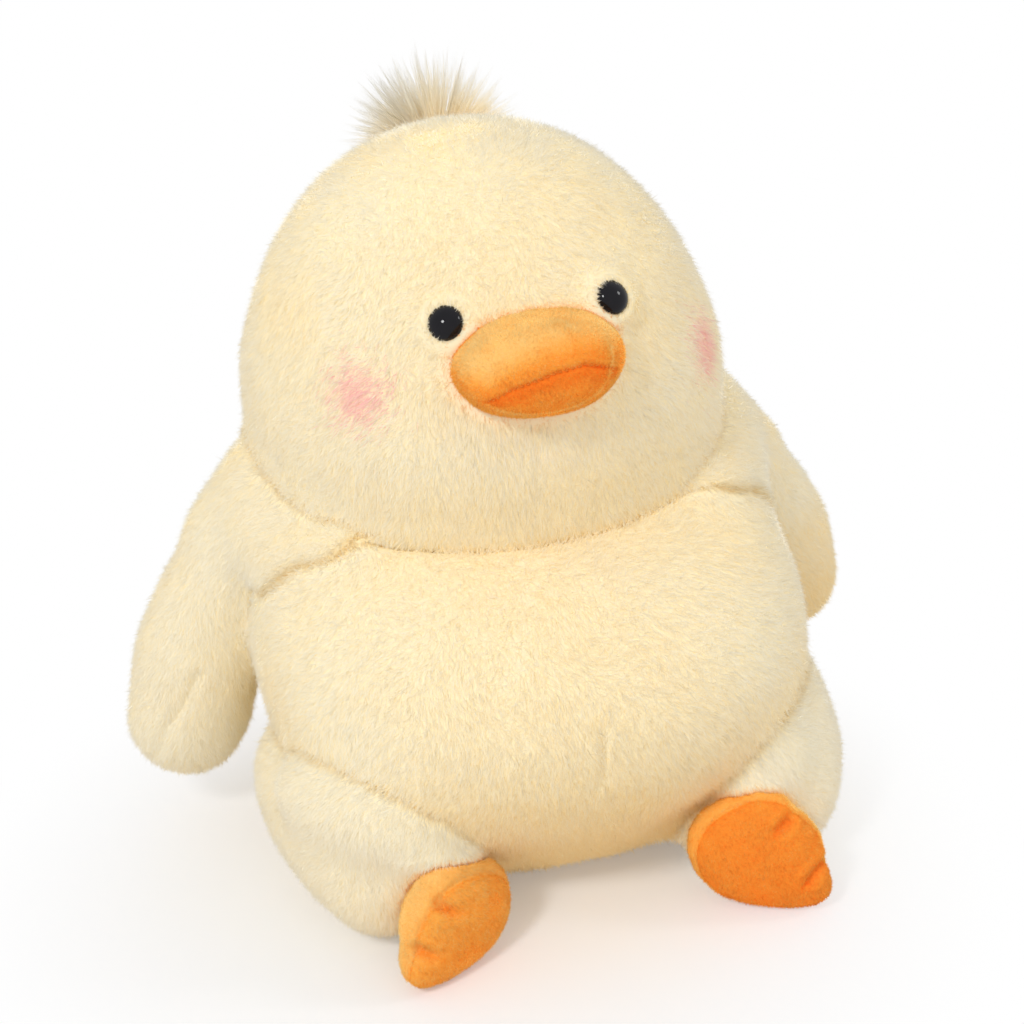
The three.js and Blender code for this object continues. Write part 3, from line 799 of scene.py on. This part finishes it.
def card_material(name, tips, roots, through, specular):
    """A pile material that reads its dye from the strand's place on the card. The underside of a
    strand is lit through the strand, so both sides look alike."""
    material, tree, shader = new_material(name, (1, 1, 1, 1), 0.85, specular)
    place = add_node(tree, "UVMap", uv_map="card").outputs["UV"]
    split = add_node(tree, "SeparateXYZ", {0: place}).outputs
    dyes = [dye_card(tree, stops, split["X"]) for stops in (roots, tips)]
    dye = mixed(tree, split["Y"], *dyes)
    link(tree, dye, shader.inputs["Base Color"])
    glow = add_node(tree, "BsdfTranslucent", {"Color": dye}).outputs[0]
    under = add_node(tree, "NewGeometry").outputs["Backfacing"]
    lit = add_node(tree, "Math", {0: under, 1: UNDER_GLOW, 2: through},
                   operation="MULTIPLY_ADD", use_clamp=True)
    both = add_node(tree, "MixShader", {"Fac": lit.outputs[0], 1: shader.outputs[0], 2: glow})
    link(tree, both.outputs[0], tree.nodes["Material Output"].inputs["Surface"])
    return material


ORANGE_ROOTS = [(0.0, (248, 126, 34)), (0.45, (252, 164, 64)), (0.55, (254, 180, 82)), (1.0, (255, 210, 132))]
# On the cream card place 0 is a golden painted shade for creases, 0.76 to 0.86 the blush, and place 1 an
# orange painted reflection of the light of bill and feet.
cream_pile = card_material(
    "cream_pile",
    tips=[(0.0, (252, 224, 166)), (0.12, (252, 236, 198)), (0.7, (252, 249, 237)),
          (0.76, (252, 245, 224)), (0.86, (253, 208, 206)), (0.9, (252, 243, 218)), (1.0, (254, 200, 140))],
    roots=[(0.0, (250, 208, 132)), (0.12, (250, 225, 168)), (0.7, (250, 240, 211)),
           (0.76, (250, 235, 195)), (0.86, (251, 192, 188)), (0.9, (250, 232, 184)), (1.0, (252, 172, 104))],
    through=0.12, specular=0.15)
orange_nap = card_material(
    "orange_nap",
    tips=[(0.0, (255, 150, 50)), (0.45, (255, 190, 88)), (0.55, (255, 206, 112)), (1.0, (255, 230, 164))],
    roots=ORANGE_ROOTS, through=0.15, specular=0.1)
tuft_pile = card_material(
    "tuft_pile",
    tips=[(0.0, (254, 251, 244)), (1.0, (255, 255, 252))],
    roots=[(0.0, (253, 238, 204)), (1.0, (255, 247, 226))],
    through=0.5, specular=0.2)

# %% [markdown]
# Below the pile lies the woven ground that it is knitted into. It shows only where the pile parts,
# so it takes nearly the same dye, with a fine grain. On bill and feet it reads the same tones as
# the nap, painted light and shade included, from an attribute of the skin.

# %% The woven ground under the pile
def grained_material(name, low, high, scale, roughness, bump=0.0, detail=2, specular=0.2):
    """Two near shades in small patches, with a fine grain where bump isn't nought."""
    material, tree, shader = new_material(name, low, roughness, specular)
    where = add_node(tree, "TexCoord").outputs["Object"]
    grain = add_node(tree, "TexNoise", {"Vector": where, "Scale": scale, "Detail": detail}).outputs["Fac"]
    link(tree, mixed(tree, grain, low, high), shader.inputs["Base Color"])
    if bump:
        rough = add_node(tree, "Bump", {"Strength": bump, "Distance": 0.4 * MM, "Height": grain})
        link(tree, rough.outputs["Normal"], shader.inputs["Normal"])
    return material


def cloth_material(name, low, high, scale, bump, roughness=0.95):
    return grained_material(name, colour(*low), colour(*high), scale, roughness, bump, 6, 0.1)


def finished(piece, material):
    """Gives a piece its material and smooth shading."""
    piece.data.materials.clear()
    piece.data.materials.append(material)
    for face in piece.data.polygons:
        face.use_smooth = True


cream_ground = cloth_material("cream_ground", (254, 238, 196), (255, 246, 216), 700, 0.4)
orange_ground, tree, shader = new_material("orange_ground", (1, 1, 1, 1), 0.95, 0.1)
tone = add_node(tree, "Attribute", attribute_name="tone").outputs["Fac"]
link(tree, dye_card(tree, ORANGE_ROOTS, tone), shader.inputs["Base Color"])
for name, skin in skins.items():
    finished(skin, orange_ground if name.startswith(("foot", "bill")) else cream_ground)

# %% [markdown]
# Before the coat can be laid, each skin gets maps of where pile grows and how long it is. It stops
# only in the line where two cloths meet. It is clipped beside the eyes, the bill and the feet, and
# it is steeper in a crease and painted golden there as painted shade, so that both sides of a crease
# show as one soft valley. Further maps give the blush, a deeper cream in the middle of head and body,
# a painted shade that deepens the cream low down, and orange beside bill and feet as painted
# reflected light.

# %% Maps of the cream coat
BLUSHES = [(361, 393), (703, 342)]
CREASE_REACH = 6
# Painted shade: below the first height in mm the cream deepens by the third number, fading out by the second.
PAINTED_LOW_SHADE = {"body": (15, 90, 0.5), "head": (98, 140, 0.18), "wing_left": (40, 110, 0.4)}
skin_trees = {name: tree_of(skin) for name, skin in skins.items()}
open_ways = {}


def coat_maps(name, *neighbours):
    """Where a coat grows. Beside a crease the pile stands out of it, halfway between both cloths."""
    points = places(skins[name])
    gaps = room(points, [skin_trees[n] for n in neighbours])
    own = outward(skins[name])
    ways = own.copy()
    for i in np.nonzero(gaps < CREASE_REACH)[0]:
        for n in neighbours:
            _, normal, _, far = skin_trees[n].find_nearest(Vector(points[i]), CREASE_REACH * MM)
            if normal is not None:
                opening = ramp(own[i] @ np.array(normal), -0.95, -0.6)
                ways[i] += np.array(normal) * opening * (1 - ramp(far / MM, 0, CREASE_REACH))
    open_ways[name] = unit(ways)
    return {"share": ramp(gaps, 0.05, 0.4), "short": 0.85 + 0.15 * ramp(gaps, 0.6, 4),
            "steep": 1 - ramp(gaps, 0.4, 2.4)}


maps = {"head": coat_maps("head", "body", "wing_right", "wing_left", "bill"),
        "body": coat_maps("body", "head", "wing_right", "wing_left", "leg_right", "leg_left")}
for side in SIDES:
    maps[f"wing_{side}"] = coat_maps(f"wing_{side}", "body", "head", f"leg_{side}")
    maps[f"leg_{side}"] = coat_maps(f"leg_{side}", "body", f"foot_{side}")

face = places(head)
from_bill = room(face, [skin_trees["bill"]])
from_eyes = np.min([from_axis(face, axis) + 50 * ((face - axis[0]) @ axis[1] < 0)
                    for axis in eye_axes], axis=0)
maps["head"]["share"] *= from_eyes > 5.3
maps["head"]["short"] *= (0.7 + 0.3 * ramp(from_eyes, 7, 15)) * (0.45 + 0.55 * ramp(from_bill, 0, 7))
maps["head"]["steep"] *= ramp(from_bill, 2, 6)
maps["head"]["pink"] = sum(np.exp(-(lengths(face - np.array(spot)) / (9.8 * MM)) ** 2)
                           for spot in hits(head, BLUSHES))
# Painted reflection: the fur beside the bill turns orange, as if lit by the bill.
maps["head"]["painted_orange_bounce"] = 1 - ramp(from_bill, 0.5, 5.5)
for side in SIDES:
    from_foot = room(places(skins[f"leg_{side}"]), [skin_trees[f"foot_{side}"]])
    maps[f"leg_{side}"]["short"] *= 0.5 + 0.5 * ramp(from_foot, 0, 7)
    maps[f"leg_{side}"]["steep"] *= ramp(from_foot, 2, 6)
    # Painted reflection: the leg's fur turns orange beside the foot.
    maps[f"leg_{side}"]["painted_orange_bounce"] = 0.5 - 0.5 * ramp(from_foot, 0.5, 5)
# The cream is deeper towards the middle of head and body, and deeper low down as painted shade.
for name, coat in maps.items():
    spots = places(skins[name]) / MM
    centre = {"head": 0.17, "body": 0.24}.get(name, 0.05) * np.exp(-(spots[:, 0] / 75) ** 2)
    centre = centre * (1 - 0.8 * ramp(spots[:, 2], 225, 262))
    low, high, more = PAINTED_LOW_SHADE.get(name, (0, 1, 0))
    coat["deep"] = centre + more * (1 - ramp(spots[:, 2], low, high))
print("coats mapped:", *maps)

# %% [markdown]
# The nap runs down and outwards over head and body and down the wings. Short steep pile below and
# longer strands above it, both a little unruly, give the fluffy look of brushed plush.

# %% The cream coat
def downwards(out, seed, across=0.0, back_way=0.0, rims=()):
    """A comb that runs down, outwards from the middle, and wanders. It turns in over the rims."""
    def comb(points, facing):
        way = np.zeros_like(points)
        way[:, 0] = out * points[:, 0] / (90 * MM) + across
        way[:, 1] = back_way
        way[:, 2] = -1
        way = unit(way) + 0.45 * drift(points, 9 * MM, seed)
        for low, axis, _ in rims:
            inwards = low + ((points - low) @ axis)[:, None] * axis - points
            near = 1 - ramp(lengths(inwards) / MM, 7.5, 11)
            way += 2.5 * near[:, None] * unit(inwards)
        return way
    return comb


def cream(points, rng, found):
    """Mostly plain cream in soft patches, with single paler and warmer strands and pink ones in the
    blush. It is also deeper in the middle of head and body. Painted shade deepens it low down and
    turns it golden in a crease, and a painted reflection of bill and feet turns it orange beside them.
    """
    patch = drift(points, 12 * MM, 7)[:, 0]
    # The deep map, partly painted shade, moves the strand towards the warm cream.
    plain = np.clip(0.64 - found["deep"] + 0.06 * patch + rng.normal(0, 0.1, len(points)), 0.12, 0.69)
    # Painted shade: in a crease the strand's dye moves towards the golden end of the card.
    plain -= (plain - 0.02) * found["steep"] ** 2 * rng.uniform(0.4, 1, len(points))
    if "painted_orange_bounce" not in found:
        return plain
    pink = rng.uniform(0.35, 1, len(points)) * (found.get("pink", 0) * 1.25 > rng.random(len(points)))
    # Painted reflection: beside bill and feet the strands take the orange end of the card.
    painted_orange_bounce = found["painted_orange_bounce"] * rng.uniform(0.6, 1.1, len(points))
    plain = np.where(pink > 0.1, 0.76 + 0.1 * np.clip(pink, 0, 1), plain)
    return np.where(painted_orange_bounce > 0.12, 0.9 + 0.1 * np.clip(painted_orange_bounce, 0, 1), plain)


COATS = [("head", 190000, 130000, downwards(0.75, 3, rims=eye_axes)),
         ("body", 190000, 130000, downwards(0.6, 5, across=0.15))]
for side in SIDES:
    COATS.append((f"wing_{side}", 80000, 50000, downwards(0.3, 8)))
    COATS.append((f"leg_{side}", 80000, 50000, downwards(0.5, 9, back_way=0.3)))
coats = {}
for seed, (name, under, over, comb) in enumerate(COATS):
    common = {"softness": 0.12, "maps": maps[name], "normals": open_ways[name]}
    coats[name] = [pile(f"{name}_pile", skins[name], under, 4.0, 0.46, comb, cream, 11 + seed,
                        rise=0.42, stray=0.5, gather=0.3, **common),
                   pile(f"{name}_guard_pile", skins[name], over, 5.4, 0.32, comb, cream, 31 + seed,
                        rise=0.33, stray=0.35, gather=0.4, **common)]
    for piece in coats[name]:
        piece.data.materials.append(cream_pile)

# %% [markdown]
# The velvet of bill and feet is a very short dense nap that stands almost upright. It is paler
# where light grazes it, so the top of the bill and the upper foot panels are painted paler, a
# painted sheen. Its tones also hold a painted highlight along the lip rim and painted shade in the
# toe folds and at the bill's edge by the head, and the right foot is painted lighter than the left.

# %% Velvet nap
# Sole and upper tones of each foot. The uppers are paler partly as painted sheen, and the right foot's tones
# are higher than the left's, painted light where its lighting falls short.
FOOT_TONES = {"right": (0.44, 0.7), "left": (0.24, 0.58)}


def brush(points, facing):
    return drift(points, 5 * MM, 4) + np.array([0, 0, -0.4])


def panel_tone_with_painted_light(points, rng, found):
    """The tone of the panel, with its painted light and shade, mottled by the comb and by each strand."""
    mottle = 0.07 * drift(points, 1.6 * MM, 6)[:, 0] + 0.08 * drift(points, 0.6 * MM, 8)[:, 0]
    return np.clip(found["height"] + mottle + rng.normal(0, 0.12, len(points)), 0.01, 0.99)


def nap(name, skin, count, seed):
    return pile(name, skin, count, 1.3, 0.22, brush, panel_tone_with_painted_light, seed, rise=0.7, lock=1.2,
                gather=0.55, stray=0.6, maps={"height": tones[skin]})


points = places(bill)
rim_line = np.array(hits(bill, LIP_RIM))
rim_line = rim_line[rim_line[:, 0].argsort()][:, :2].T
line = np.array(mouth)
along = np.interp(points[:, 0], line[:, 0], line[:, 2])
above = (points[:, 2] - along) / MM
rim = near_line(points, hits(bill, LIP_RIM))[0]
seam = near_line(points, mouth)[0]
base = (above < 0) & (points[:, 1] > np.interp(points[:, 0], *rim_line))
# Painted sheen: the upper bill is painted paler towards its top, where light grazes it. The lower lip is
# deepest just below the mouth and paler towards its rim.
height = np.where(above > 0, 0.42 + 0.5 * ramp(above, 3, 13), 0.12 + 0.3 * ramp(-above, 2, 9))
# A painted highlight runs along the lip rim, the tone is lower along the mouth seam, and the base below the
# rim has a tone of its own.
height = np.where(base, 0.4, height) + 0.42 * np.exp(-(rim / 0.6) ** 2) - 0.2 * np.exp(-(seam / 0.8) ** 2)
# Painted shade: the bill is darker at its edge, where the head's fur meets it.
painted_edge_shade = 1 - ramp(room(points, [skin_trees["head"]]), 0.8, 2.4)
tones = {bill: np.clip(height - 0.6 * painted_edge_shade, 0.02, 1)}
print("bill vertices: base", int(base.sum()), "of", len(base))
naps = {"bill": nap("bill_nap", bill, 70000, 51)}
for k, (side, foot) in enumerate(feet.items()):
    over = over_seam(places(foot), side)
    folds = np.min([near_line(places(foot), hits(foot, fold))[0] for fold in TOE_FOLDS[side]], axis=0)
    sole_tone, upper_tone = FOOT_TONES[side]
    # Painted sheen: the upper panel grows paler away from the seam, and the sole grows paler towards it.
    tone = np.where(over > 0, upper_tone + 0.24 * ramp(over, 0, 11), sole_tone + 0.1 * ramp(over, -14, -1))
    # Painted shade in the toe folds; the tone is also lower along the rim seam.
    tones[foot] = tone - 0.1 * np.exp(-(folds / 1.0) ** 2) - 0.1 * np.exp(-(over / 0.6) ** 2)
    naps[side] = nap(f"foot_nap_{side}", foot, 50000, 52 + k)
for piece in naps.values():
    piece.data.materials.append(orange_nap)
for skin, tone in tones.items():
    layer = skin.data.attributes.new("tone", "FLOAT", "POINT")
    layer.data.foreach_set("value", np.asarray(tone, np.float32))

# %% [markdown]
# The eyes are moulded domes on posts. Each is a profile spun about its own axis: a high dome that
# turns over into a short skirt, and the post that the washer grips behind the cloth.

# %% Eyes
EYE_RADIUS, EYE_DOME, POST_RADIUS, SKIRT_TOP, SKIRT_FOOT = 6.4, 4.4, 1.5, 6, 8
gloss = grained_material("eye_gloss", (0.004, 0.004, 0.006, 1), (0.009, 0.008, 0.012, 1), 240, 0.05)
eyes = {}
for side, (low, way, reach) in zip(SIDES, eye_axes):
    bm = bmesh.new()
    top = reach / MM
    foot_level, brim = top - SKIRT_FOOT, top - SKIRT_TOP
    profile = [(0, 0), (POST_RADIUS, 0), (POST_RADIUS, foot_level), (EYE_RADIUS - 0.6, foot_level),
               (EYE_RADIUS, top - 7.2), (EYE_RADIUS, brim)]
    profile += [(EYE_RADIUS * cos(radians(a)), brim + EYE_DOME * sin(radians(a)))
                for a in range(6, 90, 6)] + [(0, brim + EYE_DOME)]
    line = [bm.verts.new((r * MM, 0, h * MM)) for r, h in profile]
    edges = [bm.edges.new(pair) for pair in zip(line[:-1], line[1:])]
    bmesh.ops.spin(bm, geom=line + edges, axis=(0, 0, 1), cent=(0, 0, 0), angle=2 * pi,
                   steps=48, use_merge=True)
    bmesh.ops.remove_doubles(bm, verts=bm.verts, dist=0.001 * MM)
    bmesh.ops.recalc_face_normals(bm, faces=bm.faces)
    spot = Matrix.Translation(Vector(low)) @ Vector(way).to_track_quat("Z", "Y").to_matrix().to_4x4()
    bmesh.ops.transform(bm, matrix=spot, verts=bm.verts)
    eyes[side] = new_piece(f"eye_dome_{side}", bm)
    finished(eyes[side], gloss)
    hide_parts(f"eye_{side}")
    print(side, "eye", len(eyes[side].data.polygons), "faces, reach", round(top, 1), "mm")

# %% [markdown]
# Small straight stitches in darker thread close the mouth seam. Each is a short rounded bar laid
# across the seam's line at even steps.

# %% Mouth stitches
thread = grained_material("orange_thread", colour(216, 116, 36), colour(240, 144, 58), 1500, 0.8)


def stitches(name, piece, line, step, size):
    """Bars of thread along a path on a piece, each a small cylinder with rounded ends."""
    tree = tree_of(piece)
    bm = bmesh.new()
    walked, wanted = 0.0, 0.0
    for start, end in zip(line[:-1], line[1:]):
        span = (end - start).length / MM
        while wanted < walked + span:
            spot = start.lerp(end, (wanted - walked) / span)
            place, normal, _, _ = tree.find_nearest(spot)
            way = (end - start).normalized()
            turn = Matrix((way, normal.cross(way).normalized(), normal)).transposed().to_4x4()
            shape = Matrix.Diagonal((size * 2.4 * MM, size * MM, size * MM, 1))
            spot = Matrix.Translation(place + normal * 0.4 * MM) @ turn @ shape
            bmesh.ops.create_uvsphere(bm, u_segments=6, v_segments=4, radius=1, matrix=spot)
            wanted += step
        walked += span
    made = new_piece(name, bm)
    finished(made, thread)
    return made


mouth_stitches = stitches("mouth_stitches", bill, mouth, 2.3, 0.32)
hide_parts("bill_mouth_thread")
print("mouth stitches:", len(mouth_stitches.data.polygons), "faces")

# %% [markdown]
# The tuft is long pile that fans out from a strip sewn behind the crown. Locks of fibres start
# along the strip, spread like a hand of cards and draw together at their tips.

# %% Tuft
TUFT_LOCKS, LOCK_FIBRES, TUFT_LIFT = 190, 13, 3.0
FAN_START, FAN_SPAN, TUFT_REACH, SIDE_LOSS, FIBRE_WIDTH = -82, 156, 36.4, 14, 0.19
rng = np.random.default_rng(21)
middle = middle_of("tuft_strip")
crown = middle_of("head_cover")
outwards = (middle - crown) / np.linalg.norm(middle - crown)
sideways = np.array([1.0, 0, 0])
depthways = np.cross(outwards, sideways)
starts, ways = [], []
for k in range(TUFT_LOCKS):
    fan = radians(FAN_START + FAN_SPAN * (k + rng.random()) / TUFT_LOCKS)
    tip_over = radians(rng.normal(0, 13))
    way = outwards * cos(fan) + sideways * sin(fan)
    way = way * cos(tip_over) + depthways * sin(tip_over)
    base = middle + sideways * (fan * 11 - 1 + rng.normal(0, 1.5)) * MM
    base = base + depthways * rng.normal(0, 2.4) * MM + outwards * TUFT_LIFT * cos(fan) * MM
    reach = (TUFT_REACH - SIDE_LOSS * abs(sin(fan)) ** 1.5) * rng.uniform(0.86, 1.02) * MM
    tip = base + way * reach + rng.normal(0, 0.8, 3) * MM
    spread = rng.normal(0, 1.0, (LOCK_FIBRES, 3)) * rng.uniform(0.6, 1.4) * MM
    start = base + spread * 0.9
    end = tip + spread * 0.16 + way * rng.uniform(-7, 0.5, (LOCK_FIBRES, 1)) * MM
    middle_way = (base + tip) / 2 + spread * 0.95
    starts.append(start)
    ways.append(np.stack([middle_way - start, end - middle_way]))
starts = np.concatenate(starts)
steps = np.concatenate(ways, 1)
total = len(starts)
facing = unit(0.7 * outwards - 0.6 * depthways - 0.45 * sideways + rng.normal(0, 0.3, (total, 3)))
tuft = blades("tuft_pile", starts, facing, list(steps), FIBRE_WIDTH * MM * rng.uniform(0.7, 1.3, total),
              rng.uniform(0.02, 0.98, total), 0.25, rng)
tuft.data.materials.append(tuft_pile)
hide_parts("tuft")
print("tuft reaches", [round(v / MM) for v in (places(tuft).max(0))])

# %% [markdown]
# The last CAD nodes still showing are the lock washers behind the eyes and the strip below the
# tuft. They keep their shape and get their own finish.

# %% Washers and strip
plastic = cloth_material("washer_plastic", (226, 224, 216), (236, 234, 228), 90, 0.1, 0.45)
woven = cloth_material("strip_weave", (240, 222, 180), (250, 236, 200), 500, 0.6)
for side in SIDES:
    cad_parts[f"eye_washer_{side}"].material_slots[0].material = plastic
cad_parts["tuft_strip"].material_slots[0].material = woven

# %% [markdown]
# Bill, eyes, stitches, tuft and feet follow their CAD bodies, and so does the body's cloth. The
# head's cloth is sewn to the body at the neck, a wing's at the shoulder and a leg's at the hip;
# these cloths and their coats get their placement baked into their meshes.

# %% Following the bodies
SHOULDER_START, SHOULDER_END = (88, 56, 128), (106, 56, 92)
HIP_START, HIP_END = (94, 8, 40), (94, -60, 40)
NECK_START, NECK_END = (0, 48, 140), (0, 48, 182)


def follow(body_name, slot, *pieces):
    for piece in pieces:
        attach(piece, body_name)


def bend(part, start, end, sign=1):
    """Bakes the placement of a part's cloth and coat into their meshes.
    start and end, places given in mm, and sign are not used.
    """
    start, end = (tuple(np.array(place) * (sign, 1, 1) * MM) for place in (start, end))
    for piece in (skins[part], *coats[part]):
        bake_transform(piece)


follow("body", "cream_fur", body, *coats["body"])
bend("head", NECK_START, NECK_END)
follow("head", "orange_nap", bill, naps["bill"])
follow("head", "orange_thread", mouth_stitches)
follow("head", "long_pile", tuft)
follow("head", "eye_black", *eyes.values())
for side, sign in SIDES.items():
    bend(f"wing_{side}", SHOULDER_START, SHOULDER_END, sign)
    bend(f"leg_{side}", HIP_START, HIP_END, sign)
    follow(f"leg_{side}", "orange_nap", feet[side], naps[side])

# %% [markdown]
# Last come the view's colours as they are written.

# %% The view's colours and the end of the frame's work
scene.view_settings.view_transform = "Standard"
